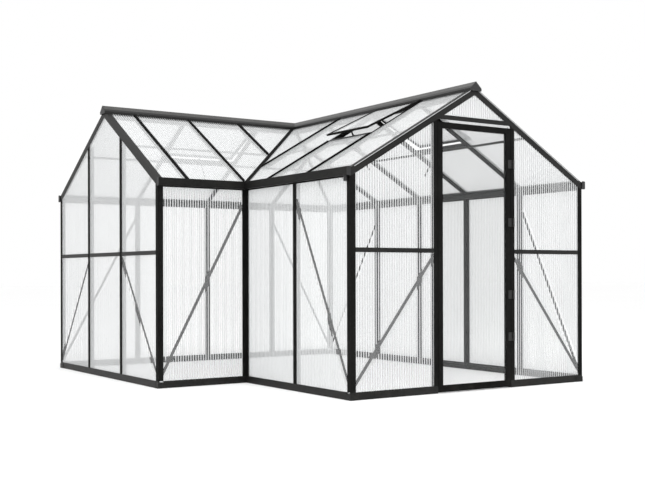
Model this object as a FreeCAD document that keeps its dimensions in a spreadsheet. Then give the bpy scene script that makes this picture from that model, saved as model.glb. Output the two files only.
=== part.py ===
import FreeCAD, Part
import Sketcher

import os
import re

# Walk-in corner greenhouse: two gabled wings that meet at a right angle.  The roof has one
# valley over the inner corner and one hip over the outer back corner.  Millimetres, +Z up,
# origin on the ground under the middle of the whole outline.

SIZES = {
    # plan and heights
    "gable_width": 1950,        # outside width of each wing
    "front_arm": 1308,          # inner corner to the front gable
    "left_arm": 660,            # inner corner to the left gable
    "eave_height": 1393,        # outside roof surface over the wall faces
    "roof_rise": 576,           # eave to ridge
    # profile walls and the slots that hold the panels
    "profile_wall": 2,
    "panel_thick": 4,
    "panel_gap": 0.25,
    "panel_grip": 10,
    "panel_play": 2,
    # profile faces and depths
    "base_height": 48,
    "base_depth": 38,
    "corner_face": 38,
    "post_face": 40,
    "post_depth": 36,
    "post_inner_face": 26,
    "web_thick": 4,
    "door_post_face": 32,
    "rail_face": 28,
    "rail_height": 903,
    "transom_height": 1753,
    "rafter_drop": 45,
    "glazing_face": 22,
    "glazing_depth": 30,
    "glazing_inner_face": 16,
    "roof_grip": 8,
    "purlin_size": 12,
    "sill_face": 24,
    "sill_depth": 20,
    "ridge_flange": 40,
    "ridge_web_drop": 62,
    "hip_flange": 22,
    "eave_lip": 14,
    "eave_seat": 24,
    "eave_box": 36,
    "joint_gap": 0.3,
    "hip_gap": 8,
    "valley_lap": 4,
    # bays
    "side_post_at": 651,        # front gable to the post in the inner side wall
    "right_bay": 615,
    "back_bay": 650,
    "mullion_at": 654,
    "door_left_at": 649,
    "door_right_at": 1301,
    "inner_front_bar": 223,
    "inner_front_bay": 435,
    "inner_side_bay": 512,
    # gutters
    "gutter_reach": 28,
    "gutter_low": 1349,
    "gutter_high": 1400,
    "gutter_over": 4,
    "cap_thick": 3,
    "outlet_bore": 20,
    "outlet_wall": 3,
    "outlet_length": 34,
    "outlet_setback": 30,
    # ridge caps
    "cap_half": 46,
    "cap_peak": 34,
    "cap_shoulder": 10,
    "cap_sheet": 2,
    "cap_over": 10,
    # braces and their bolts
    "brace_width": 20,
    "brace_thick": 3,
    "brace_top": 1232,
    "brace_inset": 26,
    "brace_foot": 25,
    "bolt_head": 10,
    "bolt_head_thick": 4,
    # base corner brackets
    "bracket_leg": 60,
    "bracket_high": 36,
    "bracket_thick": 3,
    # roof vents
    "vent_reach": 535,          # ridge line to the sill purlin
    "vent_hinge_at": 74,        # ridge line to the hinge axis of the sashes
    "sash_face": 22,
    "sash_depth": 12,
    "sash_lift": 1,
    "sash_side_gap": 5,
    "sash_overhang": 12,
    "sash_bead": 10,
    "vent_open": 4.5,           # degrees the vents stand open
    "hook_width": 12,
    "stay_at": 38,              # lower sash edge to the pivot of the stay
    "stay_drop": 6,             # sash underside to the pivot of the stay
    "stay_width": 12,
    "stay_thick": 3,
    "stay_length": 300,
    "stay_hole": 6,
    "stay_hole_step": 40,
    "stay_holes": 7,
    "peg_size": 6,
    # door
    "door_gap": 3,
    "door_floor_gap": 6,
    "door_top": 1721,
    "door_face": 38,
    "door_bottom_face": 42,
    "door_depth": 24,
    "door_proud": 0.5,
    "hinge_barrel": 12,
    "hinge_pin": 6,
    "hinge_high": 56,
    "hinge_leaf": 22,
    "hinge_sheet": 2,
    "hinge_out": 7,             # hinge axis in front of the wall face
    "hinge_fit": 0.1,
    "knuckle_gap": 0.4,
}

HINGE_HEIGHTS = {"hinge_low": 338, "hinge_lower": 617, "hinge_upper": 1097, "hinge_top": 1484}
SIZES.update(HINGE_HEIGHTS)

# Lengths and lines that follow from the sizes, as expressions
HALF = "(gable_width / 2)"
SLOPE = "sqrt(roof_rise ^ 2 + gable_width ^ 2 / 4)"
PITCH = f"atan2(roof_rise; {HALF})"
RISE = f"(roof_rise / {HALF})"                    # height gained per length inward
PLUMB = f"({SLOPE} / {HALF})"                     # plumb depth per depth square to the roof
RIDGE_HEIGHT = "(eave_height + roof_rise)"
RIGHT_LENGTH = "(front_arm + gable_width)"
BACK_LENGTH = "(left_arm + gable_width)"
SLOT_IN = "(profile_wall + panel_thick + 2 * panel_gap)"
SEAT = "(2 * profile_wall + panel_thick + 2 * panel_gap)"
HOLD = "(panel_grip - panel_play)"                # how far a panel goes into its slots
EAVE_LOW = f"(eave_height - rafter_drop * {PLUMB})"
EAVE_TOP = f"(eave_height - {SEAT} * {PLUMB})"
SILL_AT = f"({SLOPE} - vent_reach)"
RUN = f"({HALF} / {SLOPE})"                       # shift of hip and valley per length up the slope
ROOF_HOLD = "(roof_grip - panel_play)"
CORNER_X = "(-(gable_width + gutter_reach - left_arm - cap_over - cap_thick) / 2)"
CORNER_Y = f"(-({RIGHT_LENGTH} + gutter_reach - cap_over - cap_thick) / 2)"

doc = FreeCAD.newDocument("CornerGreenhouse")
sheet = doc.addObject("Spreadsheet::Sheet", "Sizes")
for row, (alias, value) in enumerate(SIZES.items(), start=1):
    sheet.set(f"A{row}", alias)
    sheet.set(f"B{row}", str(value))
    sheet.setAlias(f"B{row}", alias)
doc.recompute()

parts = []


# ---------------------------------------------------------------- expressions and places

def cells(text):
    """Turn every size name in an expression into a reference to its cell."""
    return re.sub(r"[a-z][a-z_]*", lambda m: "Sizes." + m[0] if m[0] in SIZES else m[0], str(text))


def bind(item, **sizes):
    for name, text in sizes.items():
        item.setExpression(name, cells(text))
    return item


def place_text(x, y, z, yaw="0", roll="0"):
    return cells(f"placement(vector({x}; {y}; {z}); rotation({yaw}; 0; {roll}))")


# A wall or roof slope is a surface with its own frame: local X runs left to right along its
# foot as seen from outside, local Z runs up it and local Y goes inward through it.
LEAN = f"{PITCH} - 90 deg"
FEET = {
    "front": ("0", "0", "0"),
    "right": ("gable_width", "0", "90"),
    "back": ("gable_width", RIGHT_LENGTH, "180"),
    "left": ("-left_arm", RIGHT_LENGTH, "-90"),
    "inner_front": ("-left_arm", "front_arm", "0"),
    "inner_side": ("0", "front_arm", "-90"),
}


def wall(name):
    x, y, yaw = FEET[name]
    return place_text(f"{CORNER_X} + {x}", f"{CORNER_Y} + {y}", "0", yaw)


def slope(name):
    x, y, yaw = FEET[name]
    return place_text(f"{CORNER_X} + {x}", f"{CORNER_Y} + {y}", "eave_height", yaw, LEAN)


def house(x, y, z, yaw="0", roll="0"):
    """A place measured from the outer front left corner of the front wing."""
    return place_text(f"{CORNER_X} + {x}", f"{CORNER_Y} + {y}", z, yaw, roll)


def put(item, place):
    item.setExpression("Placement", place)
    return item


# ---------------------------------------------------------------- solids in a surface frame

def block(u, d, v):
    """A box over the spans u, d and v."""
    item = doc.addObject("Part::Box", "Block")
    bind(item, Length=f"{u[1]} - ({u[0]})", Width=f"{d[1]} - ({d[0]})", Height=f"{v[1]} - ({v[0]})")
    return bind(item, **{f"Placement.Base.{axis}": low for axis, low in zip("xyz", (u[0], d[0], v[0]))})


def wedge(x, y, z, x_far, z_far, turn):
    item = doc.addObject("Part::Wedge", "Wedge")
    bind(item, Xmin=x[0], Xmax=x[1], Ymin=y[0], Ymax=y[1], Zmin=z[0], Zmax=z[1])
    bind(item, X2min=x_far[0], X2max=x_far[1], Z2min=z_far[0], Z2max=z_far[1])
    item.Placement = FreeCAD.Placement(FreeCAD.Vector(), turn)
    return item


def upright_plate(u, d, low, high):
    """Upright sides, with ends low(u) and high(u) that may slant along u."""
    turn = FreeCAD.Rotation(FreeCAD.Vector(1, 1, 1), 240)
    return wedge((low(u[0]), high(u[0])), u, d, (low(u[1]), high(u[1])), d, turn)


def level_plate(v, d, left, right):
    """Level edges, with ends left(v) and right(v) that may slant along v."""
    turn = FreeCAD.Rotation(FreeCAD.Vector(1, 0, 0), 90)
    deep = (f"-({d[1]})", f"-({d[0]})")
    return wedge((left(v[0]), right(v[0])), v, deep, (left(v[1]), right(v[1])), deep, turn)


def mitred_bar(u, d, low, high):
    """Ends low(d) and high(d) that slant with the depth."""
    return wedge(u, d, (low(d[0]), high(d[0])), u, (low(d[1]), high(d[1])), FreeCAD.Rotation())


def level(value):
    return lambda position: value


def fuse(items, place=None):
    item = doc.addObject("Part::MultiFuse", "Fuse")
    item.Shapes = items
    item.Refine = True
    return put(item, place) if place else item


def cut(base, tool):
    item = doc.addObject("Part::Cut", "Cut")
    item.Base = base
    item.Tool = tool
    return item


def group(items, place=None):
    item = doc.addObject("Part::Compound", "Group")
    item.Links = items
    return put(item, place) if place else item


def finish(label, item):
    item.Label = label
    parts.append(item)
    return item


# ---------------------------------------------------------------- profiles

def h_section(centre, face, depth, inner_face, grip="panel_grip"):
    """Rectangles (across, through) of a glazing profile: two slotted flanges, web, inner flange."""
    def across(width):
        return (f"{centre} - {width} / 2", f"{centre} + {width} / 2")
    return [
        (across(face), ("0", "profile_wall")),
        (across(face), (SLOT_IN, SEAT)),
        (across(f"({face} - 2 * {grip})"), ("profile_wall", SLOT_IN)),
        (across("web_thick"), (SEAT, f"{depth} - profile_wall")),
        (across(inner_face), (f"{depth} - profile_wall", depth)),
    ]


def upright(centre, face, depth, inner_face, low, high, inner_low=None, grip="panel_grip"):
    """A glazing profile that runs up its surface; its web may start lower than its slots."""
    plates = []
    for number, (u, d) in enumerate(h_section(centre, face, depth, inner_face, grip)):
        start = inner_low if inner_low and number > 2 else low
        plates.append(upright_plate(u, d, start, high))
    return fuse(plates)


def lying(u, centre, face, depth, inner_face, grip="panel_grip"):
    """A glazing profile that runs level along its surface."""
    return fuse([block(u, d, v) for v, d in h_section(centre, face, depth, inner_face, grip)])


def corner_section(reach):
    """Rectangles (across, through) of an angle profile with a slot at the end of each leg.

    The rectangles of the first leg alternate with those of the second.
    """
    return [
        (("0", "corner_face"), ("0", "profile_wall")),
        (("0", "profile_wall"), ("0", reach)),
        ((SLOT_IN, "corner_face"), (SLOT_IN, SEAT)),
        ((SLOT_IN, SEAT), (SLOT_IN, reach)),
        (("0", "corner_face - panel_grip"), ("0", SLOT_IN)),
        (("0", SLOT_IN), ("0", f"{reach} - panel_grip")),
    ]


def polygon_pad(label, points, length, place):
    """A body padded from a closed outline whose corners are bound to the sizes."""
    body = doc.addObject("PartDesign::Body", "Body")
    sketch = body.newObject("Sketcher::SketchObject", "Outline")
    origin_plane = [f for f in body.Origin.OriginFeatures if f.Role == "XY_Plane"][0]
    sketch.AttachmentSupport = (origin_plane, "")
    sketch.MapMode = "FlatFace"
    values = [[evaluate(text) for text in point] for point in points]
    corners = [FreeCAD.Vector(x, y, 0) for x, y in values]
    for start, end in zip(corners, corners[1:] + corners[:1]):
        sketch.addGeometry(Part.LineSegment(start, end), False)
    for edge in range(len(points)):
        after = (edge + 1) % len(points)
        sketch.addConstraint(Sketcher.Constraint("Coincident", edge, 2, after, 1))
    for edge, (point, value) in enumerate(zip(points, values)):
        for axis, text, number in zip("XY", point, value):
            index = sketch.addConstraint(
                Sketcher.Constraint(f"Distance{axis}", -1, 1, edge, 1, number))
            sketch.setExpression(f"Constraints[{index}]", cells(text))
    pad = body.newObject("PartDesign::Pad", "Pad")
    pad.Profile = sketch
    bind(pad, Length=length)
    body.Tip = pad
    put(body, place)
    body.Label = label
    return body


def evaluate(text):
    """The number an expression has now."""
    value = sheet.evalExpression(cells(text))
    return float(getattr(value, "Value", value))


# ---------------------------------------------------------------- base

def base_rail(u):
    """A square tube with two lips that form the slot for the wall panels."""
    shelf = "(base_height - panel_grip)"
    outer = block(u, ("0", "base_depth"), ("0", shelf))
    hollow = block((f"{u[0]} - joint_gap", f"{u[1]} + joint_gap"),
                   ("profile_wall", "base_depth - profile_wall"),
                   ("profile_wall", f"{shelf} - profile_wall"))
    lips = [block(u, d, (shelf, "base_height")) for d in (("0", "profile_wall"), (SLOT_IN, SEAT))]
    return fuse([cut(outer, hollow)] + lips)


DOOR_LEFT_EDGE = "(door_left_at + door_post_face / 2)"
DOOR_RIGHT_EDGE = "(door_right_at - door_post_face / 2)"
finish("base_rails_front", group([base_rail(("0", DOOR_LEFT_EDGE)),
                                  base_rail((DOOR_RIGHT_EDGE, "gable_width"))], wall("front")))
right_rail = put(base_rail(("base_depth", RIGHT_LENGTH)), wall("right"))
back_rail = put(base_rail(("base_depth", f"{BACK_LENGTH} - base_depth")), wall("back"))
finish("base_rails_outer", group([right_rail, back_rail]))
finish("base_rail_left_gable", put(base_rail(("0", "gable_width")), wall("left")))
inner_front_rail = put(base_rail(("base_depth", "left_arm + base_depth")), wall("inner_front"))
inner_side_rail = put(base_rail(("0", "front_arm - base_depth")), wall("inner_side"))
finish("base_rails_inner", group([inner_front_rail, inner_side_rail]))


def corner_bracket(place):
    """A bent plate that wraps an outer corner of the base rails."""
    legs = [(("-bracket_thick", "bracket_leg"), ("-bracket_thick", "0")),
            (("-bracket_thick", "0"), ("-bracket_thick", "bracket_leg"))]
    return fuse([block(u, d, ("0", "bracket_high")) for u, d in legs], place)


CORNERS = {
    "front_left": house("0", "0", "0"),
    "front_right": house("gable_width", "0", "0", "90"),
    "back_right": house("gable_width", RIGHT_LENGTH, "0", "180"),
    "back_left": house("-left_arm", RIGHT_LENGTH, "0", "-90"),
    "left_front": house("-left_arm", "front_arm", "0"),
}
finish("base_corner_brackets", group([corner_bracket(place) for place in CORNERS.values()]))


# ---------------------------------------------------------------- uprights

def under_left_rafter(u):
    return f"({EAVE_LOW} + ({u}) * {RISE})"


def under_right_rafter(u):
    return f"({EAVE_LOW} + (gable_width - ({u})) * {RISE})"


def corner_post(low, high, mirrored=False):
    """An angle post; mirrored, its corner is at the right end of the gable."""
    plates = []
    for number, (u, d) in enumerate(corner_section("corner_face")):
        span = (f"gable_width - ({u[1]})", f"gable_width - ({u[0]})") if mirrored else u
        side_leg = number % 2 == 1
        plates.append(upright_plate(span, d, low, level(EAVE_LOW) if side_leg else high))
    return fuse(plates)


ON_BASE = level("base_height")
for gable, label in (("front", "corner_posts_front"), ("left", "corner_posts_left")):
    pair = [corner_post(ON_BASE, under_left_rafter),
            corner_post(ON_BASE, under_right_rafter, mirrored=True)]
    finish(label, group(pair, wall(gable)))
finish("corner_posts_eaves", group([
    put(corner_post(ON_BASE, level(EAVE_LOW)), CORNERS["back_right"]),
    put(corner_post(ON_BASE, level(EAVE_LOW)), house(SEAT, f"front_arm + {SEAT}", "0", "180"))]))

ON_TUBE = level("base_height - panel_grip")


def wall_post(centre, high=level(EAVE_LOW), face="post_face"):
    return upright(centre, face, "post_depth", "post_inner_face", ON_BASE, high, ON_TUBE)


right_posts = [put(wall_post(f"{count} * right_bay"), wall("right")) for count in range(1, 5)]
back_posts = [put(wall_post(f"{count} * back_bay"), wall("back")) for count in range(1, 4)]
finish("wall_posts_outer", group(right_posts + back_posts))
finish("wall_post_inner", put(wall_post("front_arm - side_post_at"), wall("inner_side")))
MULLIONS = ("mullion_at", "gable_width - mullion_at")
finish("gable_mullions", group([wall_post(MULLIONS[0], under_left_rafter),
                                wall_post(MULLIONS[1], under_right_rafter)], wall("left")))
finish("door_posts", group([wall_post("door_left_at", under_left_rafter, "door_post_face"),
                            wall_post("door_right_at", under_right_rafter, "door_post_face")],
                           wall("front")))


# ---------------------------------------------------------------- rails of the gables

def mid_rail(u):
    return lying(u, "rail_height", "rail_face", "post_depth", "post_inner_face")


DOOR_POST_OUT = ("(door_left_at - door_post_face / 2)", "(door_right_at + door_post_face / 2)")
finish("mid_rails_front", group([mid_rail(("corner_face", DOOR_POST_OUT[0])),
                                 mid_rail((DOOR_POST_OUT[1], "gable_width - corner_face"))],
                                wall("front")))
left_rail_ends = [("corner_face", f"{MULLIONS[0]} - post_face / 2"),
                  (f"{MULLIONS[0]} + post_face / 2", f"{MULLIONS[1]} - post_face / 2"),
                  (f"{MULLIONS[1]} + post_face / 2", "gable_width - corner_face")]
finish("mid_rails_left", group([mid_rail(span) for span in left_rail_ends], wall("left")))


def at_left_rafter(v):
    return f"((({v}) - {EAVE_LOW}) / {RISE})"


def at_right_rafter(v):
    return f"(gable_width - {at_left_rafter(v)})"


transom = [level_plate(v, d, at_left_rafter, at_right_rafter)
           for v, d in h_section("transom_height", "rail_face", SEAT, "rail_face")[:3]]
finish("door_transom", fuse(transom, wall("front")))


# ---------------------------------------------------------------- braces

def brace(name, low_end, high_end, v_high):
    """A flat diagonal bar behind the panels, from a base corner up to a post, and its bolts."""
    v_low = "(base_height + brace_inset)"
    run = f"({high_end} - ({low_end}))"
    climb = f"({v_high} - {v_low})"
    length = f"sqrt({run} ^ 2 + {climb} ^ 2)"
    tilt = f"-atan2({climb}; {run})"
    turn = cells(f" * placement(vector({low_end}; {SEAT}; {v_low}); rotation(0; {tilt}; 0))")
    bar = block(("0", length), ("0", "brace_thick"), ("-brace_width / 2", "brace_width / 2"))
    bolts = []
    for along in ("brace_width / 2", f"({length} - brace_width / 2)"):
        head = doc.addObject("Part::Cylinder", "BoltHead")
        bind(head, Radius="bolt_head / 2", Height="bolt_head_thick")
        bolts.append(put(head, wall(name) + turn + cells(
            f" * placement(vector({along}; brace_thick + bolt_head_thick; 0); rotation(0; 0; 90))")))
    return group([bar], wall(name) + turn), bolts


UNDER_RAIL = "(rail_height - rail_face / 2 - brace_width)"
NEAR = "(web_thick + brace_width / 2)"
FACE_END = "brace_foot"
BRACES = [
    ("front", FACE_END, f"door_left_at - {NEAR}", UNDER_RAIL),
    ("front", f"gable_width - {FACE_END}", f"door_right_at + {NEAR}", UNDER_RAIL),
    ("left", FACE_END, f"{MULLIONS[0]} - {NEAR}", UNDER_RAIL),
    ("left", f"gable_width - {FACE_END}", f"{MULLIONS[1]} + {NEAR}", UNDER_RAIL),
    ("inner_front", FACE_END, "left_arm - brace_foot", "brace_top"),
    ("inner_side", f"front_arm - {FACE_END}", f"front_arm - side_post_at + {NEAR}", "brace_top"),
    ("right", FACE_END, f"right_bay - {NEAR}", "brace_top"),
    ("right", f"{RIGHT_LENGTH} - {FACE_END}", f"4 * right_bay + {NEAR}", "brace_top"),
    ("back", FACE_END, f"back_bay - {NEAR}", "brace_top"),
    ("back", f"{BACK_LENGTH} - {FACE_END}", f"3 * back_bay + {NEAR}", "brace_top"),
]
built_braces = [brace(*row) for row in BRACES]
finish("braces", group([bar for bar, bolts in built_braces]))
finish("brace_bolts", group([bolt for bar, bolts in built_braces for bolt in bolts]))


# ---------------------------------------------------------------- eaves and gutters

def eave(name, wall_span, roof_span, trough, front_wall, extra=(), cutters=()):
    """The eave extrusion of one wall: panel slot, tube, roof lip and gutter."""
    box_top = f"({EAVE_LOW} + eave_box)"
    tube = block(wall_span, (SLOT_IN, "post_depth"), (f"{EAVE_LOW} + panel_grip", box_top))
    core = block((f"{wall_span[0]} - 1", f"{wall_span[1]} + 1"),
                 (f"{SEAT} + profile_wall", "post_depth - profile_wall"),
                 (f"{EAVE_LOW} + panel_grip + profile_wall", f"{box_top} - profile_wall"))
    pieces = [
        cut(tube, core),
        block(wall_span, ("0", "profile_wall"), (EAVE_LOW, EAVE_TOP)),
        block(wall_span, (SLOT_IN, SEAT), (EAVE_LOW, box_top)),
        block(wall_span, ("0", SEAT),
              (f"{EAVE_LOW} + panel_grip", f"{EAVE_LOW} + panel_grip + profile_wall")),
        block(wall_span, ("0", SEAT), (f"{EAVE_TOP} - 2 * profile_wall", EAVE_TOP)),
        block(roof_span, ("0", SLOT_IN), (f"{EAVE_TOP} - profile_wall", f"{EAVE_TOP} + 2 * profile_wall")),
        block(trough, ("-gutter_reach", "0"), ("gutter_low", "gutter_low + profile_wall")),
        block(trough, ("-profile_wall", "0"), ("gutter_low", f"{EAVE_TOP} - profile_wall")),
        block(front_wall, ("-gutter_reach", "-gutter_reach + profile_wall"), ("gutter_low", "gutter_high")),
    ]
    pieces += extra
    shell = fuse(pieces)
    for tool in cutters:
        shell = cut(shell, tool)
    lips = [
        block(roof_span, ("0", "profile_wall"), ("0", "eave_lip")),
        block(roof_span, ("0", SEAT), ("0", "profile_wall")),
        block(roof_span, (SLOT_IN, SEAT), ("-profile_wall", "eave_seat")),
    ]
    lip = fuse(lips, slope(name))
    return fuse([put(shell, wall(name)), lip])


HIP_CLEAR = f"(hip_flange + eave_seat * {RUN} + joint_gap)"
VALLEY_CLEAR = "(hip_flange + joint_gap)"
end_stop = block((f"{RIGHT_LENGTH} + gutter_reach - profile_wall", f"{RIGHT_LENGTH} + gutter_reach"),
                 ("-gutter_reach", "0"), ("gutter_low", "gutter_high"))
full_right = ("-gutter_over", f"{RIGHT_LENGTH} + gutter_reach")
finish("eave_right", eave("right", (SEAT, RIGHT_LENGTH), ("corner_face", f"{RIGHT_LENGTH} - {HIP_CLEAR}"),
                          full_right, full_right, [end_stop]))
finish("eave_back", eave("back", ("post_depth", f"{BACK_LENGTH} - {SEAT}"),
                         (HIP_CLEAR, f"{BACK_LENGTH} - corner_face"),
                         ("0", f"{BACK_LENGTH} + gutter_over"), ("0", f"{BACK_LENGTH} + gutter_over")))
finish("eave_inner_front", eave("inner_front", (SEAT, "left_arm + post_depth"),
                                ("corner_face", f"left_arm - {VALLEY_CLEAR}"),
                                ("-gutter_over", "left_arm"), ("-gutter_over", "left_arm - gutter_reach")))


def outlet_round(radius, low, high):
    """A round solid on the axis of the gutter outlet, in the frame of the inner side wall."""
    item = doc.addObject("Part::Cylinder", "Round")
    bind(item, Radius=radius, Height=f"{high} - ({low})")
    return bind(item, **{"Placement.Base.x": "front_arm - outlet_setback",
                         "Placement.Base.y": "-gutter_reach / 2", "Placement.Base.z": low})


inner_trough = ("gutter_reach", "front_arm + gutter_over")
outlet_hole = outlet_round("outlet_bore / 2", "gutter_low - 1", "gutter_low + profile_wall + 1")
finish("eave_inner_side", eave("inner_side", ("0", f"front_arm - {SEAT}"),
                               (VALLEY_CLEAR, "front_arm - corner_face"),
                               inner_trough, inner_trough, cutters=[outlet_hole]))
OUTLET_LOW = "gutter_low - outlet_length"
outlet_body = fuse([outlet_round("outlet_bore / 2 + outlet_wall", OUTLET_LOW, "gutter_low"),
                    outlet_round("gutter_reach / 2 - joint_gap", "gutter_low - outlet_wall", "gutter_low")])
finish("gutter_outlet", put(cut(outlet_body, outlet_round("outlet_bore / 2", f"{OUTLET_LOW} - 1",
                                                          "gutter_low + 1")), wall("inner_side")))


def gutter_cap(name, low_end):
    plate = block((low_end, f"{low_end} + cap_thick"), ("-gutter_reach", "-joint_gap"),
                  ("gutter_low - cap_thick", "gutter_high + profile_wall"))
    rounded = doc.addObject("Part::Fillet", "Rounded")
    rounded.Base = plate
    doc.recompute()
    edges = []
    for index, edge in enumerate(plate.Shape.Edges, start=1):
        box = edge.BoundBox
        if box.XLength > 1 and box.YLength < 1e-6 and box.YMax < -20:
            edges.append((index, 8, 8))
    rounded.Edges = edges
    return group([rounded], wall(name))


finish("gutter_end_caps", group([
    gutter_cap("right", "(-gutter_over - cap_thick)"),
    gutter_cap("inner_front", "(-gutter_over - cap_thick)"),
    gutter_cap("inner_side", "(front_arm + gutter_over)"),
    gutter_cap("back", f"({BACK_LENGTH} + gutter_over)")]))


# ---------------------------------------------------------------- gable rafters

def gable_rafter(name, far_end=None):
    """An angle profile over the edge of a gable, cut plumb at the eave and at the ridge."""
    def low(d):
        return f"(-({d}) * {RISE})"

    def high(d):
        return f"({SLOPE} - ({d}) * {RISE})"

    bars = []
    for u, d in corner_section("rafter_drop"):
        span = (f"{far_end} - ({u[1]})", f"{far_end} - ({u[0]})") if far_end else u
        bars.append(mitred_bar(span, d, low, high))
    return fuse(bars, slope(name))


finish("gable_rafters_front", group([gable_rafter("inner_side", "front_arm"), gable_rafter("right")]))
finish("gable_rafters_left", group([gable_rafter("inner_front"), gable_rafter("back", BACK_LENGTH)]))


# ---------------------------------------------------------------- ridge, valley and hip

def strips(name, v, left, right, core_left, core_right, core_v):
    """Two flanges and the core of a seam on one slope; the slots open away from the seam."""
    seams = [level_plate(v, d, left, right) for d in (("0", "profile_wall"), (SLOT_IN, SEAT))]
    seams.append(level_plate(core_v, ("profile_wall", SLOT_IN), core_left, core_right))
    return fuse(seams, slope(name))


def ridge_strips(name, left, right):
    v = (f"{SLOPE} - ridge_flange", SLOPE)
    return strips(name, v, left, right, left, right, (f"{v[0]} + panel_grip", SLOPE))


def valley_u(v):
    return f"(({v}) * {RUN})"


VALLEY_FRONT = lambda v: f"(left_arm + {valley_u(v)} - hip_gap)"
VALLEY_SIDE = lambda v: f"(joint_gap - {valley_u(v)})"
HIP_RIGHT = lambda v: f"({RIGHT_LENGTH} - {valley_u(v)} - hip_gap)"
HIP_BACK = lambda v: f"({valley_u(v)} + hip_gap)"
RIDGE_Y = f"(front_arm + {HALF})"
WEB_LOW = f"({RIDGE_HEIGHT} - ridge_web_drop)"
WEB_TOP = f"({RIDGE_HEIGHT} - {SLOT_IN})"


def ridge_web(along):
    """The web and bottom flange of a ridge beam, along X about the line Y = 0."""
    return [block(along, ("-web_thick / 2", "web_thick / 2"), (WEB_LOW, WEB_TOP)),
            block(along, ("-post_inner_face / 2", "post_inner_face / 2"),
                  (WEB_LOW, f"{WEB_LOW} + profile_wall"))]


front_web = fuse(ridge_web(("corner_face", f"{RIDGE_Y} + web_thick / 2")), house(HALF, "0", "0", "90"))
left_web = fuse(ridge_web(("-left_arm + corner_face", f"{HALF} - post_inner_face / 2 - joint_gap")),
                house("0", RIDGE_Y, "0"))
finish("ridge_beams", group([
    fuse([ridge_strips("inner_side", VALLEY_SIDE, level("front_arm - corner_face")),
          ridge_strips("right", level("corner_face"), HIP_RIGHT), front_web]),
    fuse([ridge_strips("inner_front", level("corner_face"), VALLEY_FRONT),
          ridge_strips("back", HIP_BACK, level(f"{BACK_LENGTH} - corner_face")), left_web])]))

CAP_FOOT = f"(-cap_half * {RISE})"
CAP_OUTLINE = [("-cap_half", CAP_FOOT), ("-cap_half", "-cap_shoulder"), ("0", "cap_peak"),
               ("cap_half", "-cap_shoulder"), ("cap_half", CAP_FOOT)]
CAP_INSIDE = [("cap_half - cap_sheet", CAP_FOOT), ("cap_half - cap_sheet", "-cap_shoulder - cap_sheet / 2"),
              ("0", "cap_peak - cap_sheet * 1.4"),
              ("-cap_half + cap_sheet", "-cap_shoulder - cap_sheet / 2"), ("-cap_half + cap_sheet", CAP_FOOT)]


def across_y(x, y, turn="0"):
    """A place for an outline pad that stands square to a ridge and grows along it."""
    return house(x, y, RIDGE_HEIGHT, turn) + " * placement(vector(0; 0; 0); rotation(0; 0; 90))"


front_cap = polygon_pad("FrontRidgeCap", CAP_OUTLINE + CAP_INSIDE, f"{RIDGE_Y} + cap_half + cap_over",
                        across_y(HALF, f"{RIDGE_Y} + cap_half"))
left_cap = polygon_pad("LeftRidgeCap", CAP_OUTLINE + CAP_INSIDE, f"left_arm + cap_over + {HALF}",
                       across_y(HALF, RIDGE_Y, "-90"))
UNDER_ROOF = [("-2 * cap_half", f"-2 * cap_half * {RISE}"),
              ("2 * cap_half", f"-2 * cap_half * {RISE}"),
              ("0", "0")]
under_front = polygon_pad("UnderFrontRoof", UNDER_ROOF, f"{RIDGE_Y} + 4 * cap_half",
                          across_y(HALF, f"{RIDGE_Y} + 2 * cap_half"))
under_left = polygon_pad("UnderLeftRoof", UNDER_ROOF, f"left_arm + {HALF} + 4 * cap_half",
                         across_y(f"{HALF} + 2 * cap_half", RIDGE_Y, "-90"))
finish("ridge_caps", cut(fuse([front_cap, left_cap]), fuse([under_front, under_left])))
finish("ridge_end_caps", group([
    polygon_pad("FrontEndCap", CAP_OUTLINE, "cap_thick", across_y(HALF, "-cap_over")),
    polygon_pad("LeftEndCap", CAP_OUTLINE, "cap_thick", across_y("-left_arm - cap_over", RIDGE_Y, "-90"))]))

SEAM_V = ("0", f"{SLOPE} - ridge_flange - joint_gap - 2 * valley_lap")
CORE_WIDTH = "(hip_flange - panel_grip)"
finish("valley_bar", fuse([
    strips("inner_front", SEAM_V,
           lambda v: f"(left_arm + {valley_u(v)} - hip_flange)",
           lambda v: f"(left_arm + {valley_u(v)} + valley_lap)",
           lambda v: f"(left_arm + {valley_u(v)} - {CORE_WIDTH})",
           lambda v: f"(left_arm + {valley_u(v)} + valley_lap)",
           SEAM_V),
    strips("inner_side", SEAM_V,
           lambda v: f"(-{valley_u(v)} - valley_lap)", lambda v: f"(hip_flange - {valley_u(v)})",
           lambda v: f"(-{valley_u(v)} - valley_lap)", lambda v: f"({CORE_WIDTH} - {valley_u(v)})",
           SEAM_V)]))
finish("hip_bar", fuse([
    strips("right", SEAM_V,
           lambda v: f"({RIGHT_LENGTH} - {valley_u(v)} - hip_flange)",
           lambda v: f"({RIGHT_LENGTH} - {valley_u(v)})",
           lambda v: f"({RIGHT_LENGTH} - {valley_u(v)} - {CORE_WIDTH})",
           lambda v: f"({RIGHT_LENGTH} - {valley_u(v)})",
           SEAM_V),
    strips("back", SEAM_V,
           valley_u, lambda v: f"({valley_u(v)} + hip_flange)",
           valley_u, lambda v: f"({valley_u(v)} + {CORE_WIDTH})",
           SEAM_V)]))


# ---------------------------------------------------------------- glazing bars, purlins, sills

ON_EAVE = level("eave_seat + joint_gap")
AT_RIDGE = level(f"({SLOPE} - ridge_flange - joint_gap)")


def glazing_bar(centre, low=ON_EAVE, high=AT_RIDGE):
    return upright(centre, "glazing_face", "glazing_depth", "glazing_inner_face", low, high,
                   grip="roof_grip")


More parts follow.
